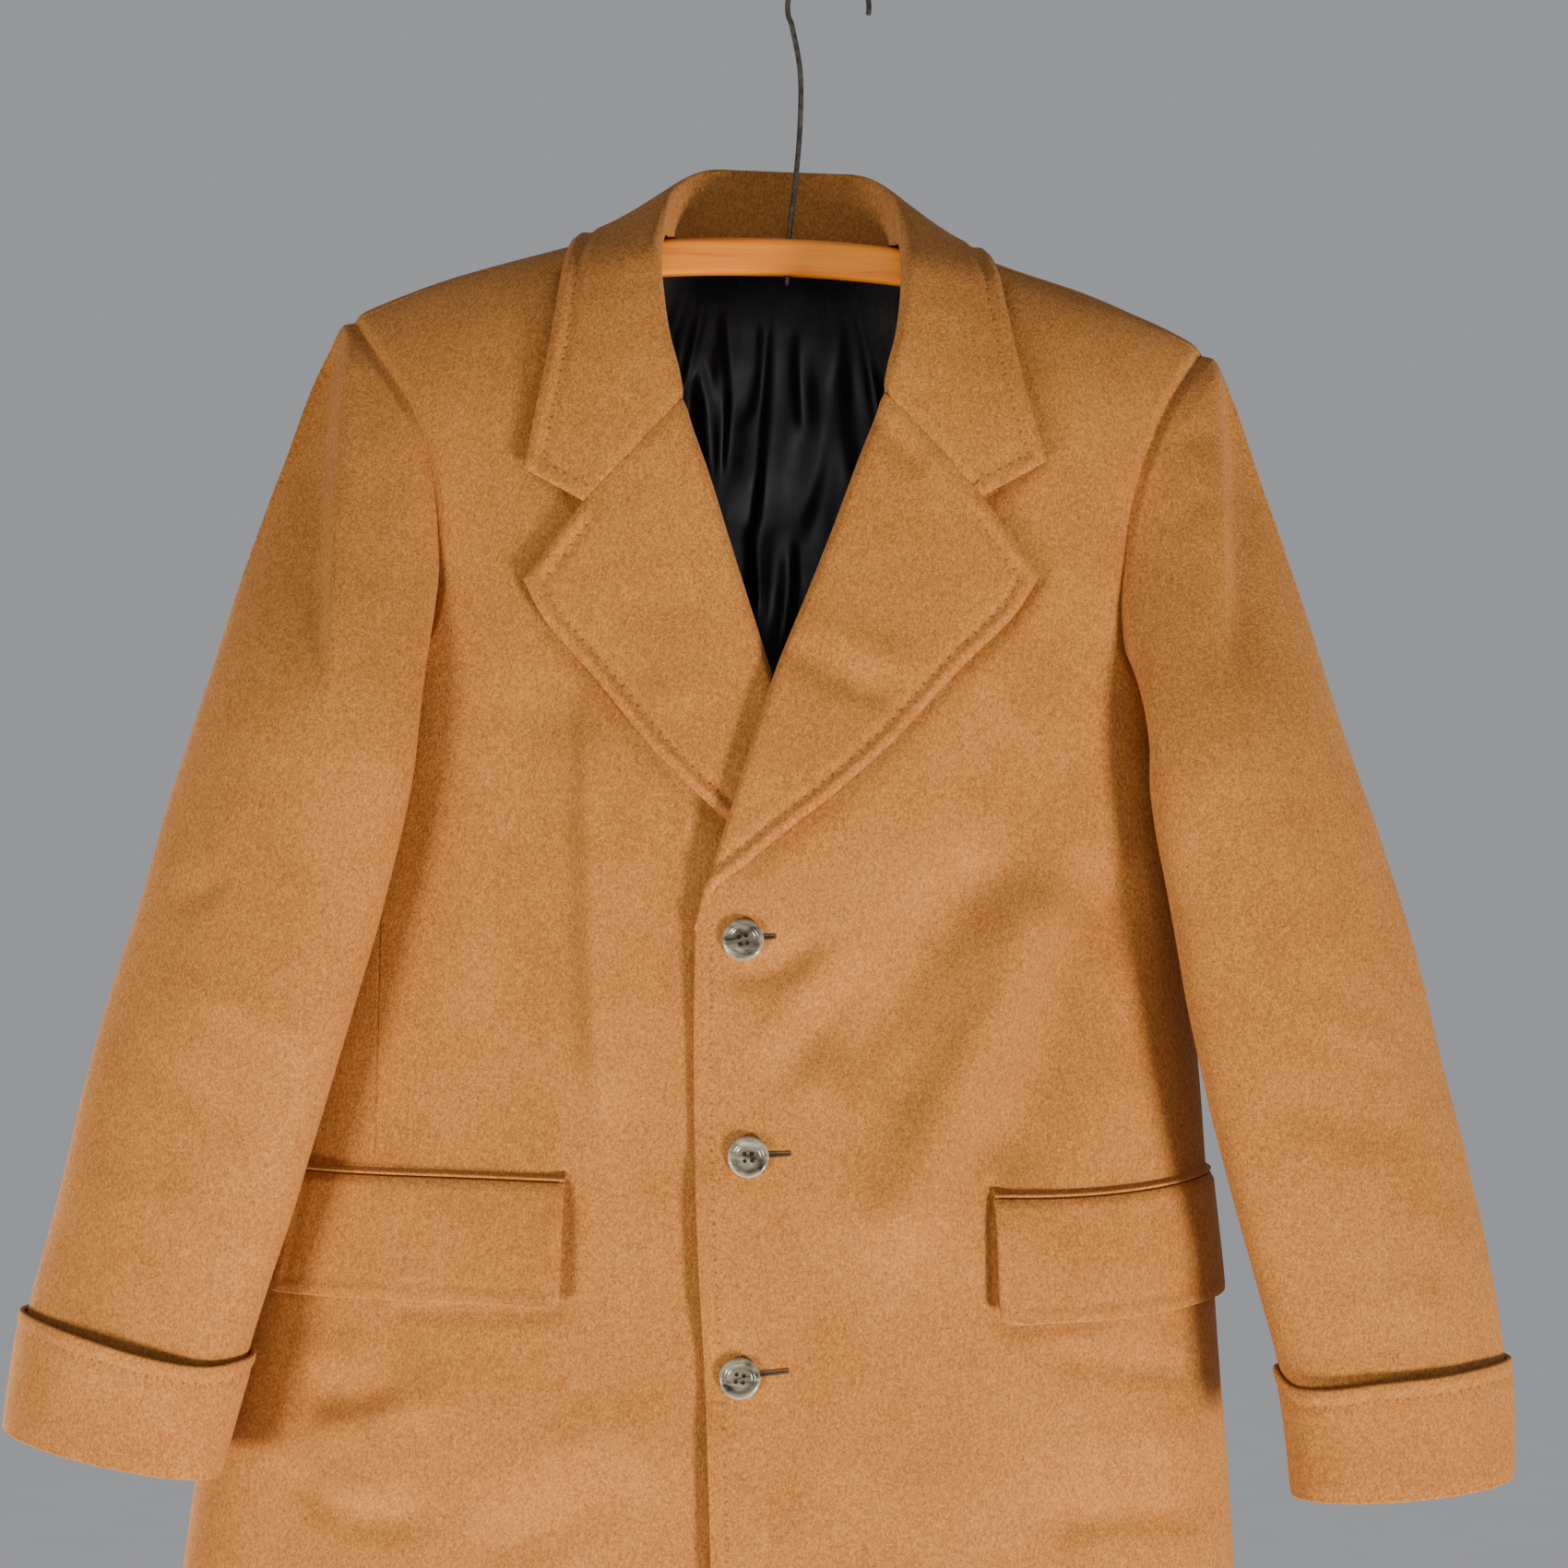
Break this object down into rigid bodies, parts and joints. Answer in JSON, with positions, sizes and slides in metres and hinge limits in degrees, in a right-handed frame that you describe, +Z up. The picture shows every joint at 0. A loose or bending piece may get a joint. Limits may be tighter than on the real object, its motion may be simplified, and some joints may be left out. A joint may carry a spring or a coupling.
{
  "type": "single-breasted overcoat on a wooden hanger",
  "caption": "Knee-length single-breasted overcoat with notched lapels, flap pockets and turned-back cuffs, hanging open-necked on a wooden bar hanger with a wire hook.",
  "frame": {"origin": "inside top of the hanger's hook, where a rail carries it", "axes": "+Z up, -Y towards the front of the coat, +X towards the wearer's left"},
  "size_m": [0.8675, 0.1791, 1.2282],
  "materials": {
    "coat_cloth": "napped camel wool",
    "lining_satin": "black satin",
    "button_horn": "polished horn look",
    "hanger_wood": "light varnish",
    "hook_wire": "dull dark wire"
  },
  "bodies": {
    "root": {"front_left": "coat_cloth", "front_right": "coat_cloth", "back_left": "coat_cloth", "back_right": "coat_cloth", "lapel_left": "coat_cloth", "lapel_right": "coat_cloth", "collar": "coat_cloth", "sleeve_left_top": "coat_cloth", "sleeve_left_under": "coat_cloth", "sleeve_right_top": "coat_cloth", "sleeve_right_under": "coat_cloth", "cuff_left": "coat_cloth", "cuff_right": "coat_cloth", "flap_left": "coat_cloth", "flap_right": "coat_cloth", "welt_left": "coat_cloth", "welt_right": "coat_cloth", "lining_back": "lining_satin", "button_1": "button_horn", "button_2": "button_horn", "button_3": "button_horn", "hanger_bar": "hanger_wood", "hanger_hook": "hook_wire"}
  },
  "joints": []
}
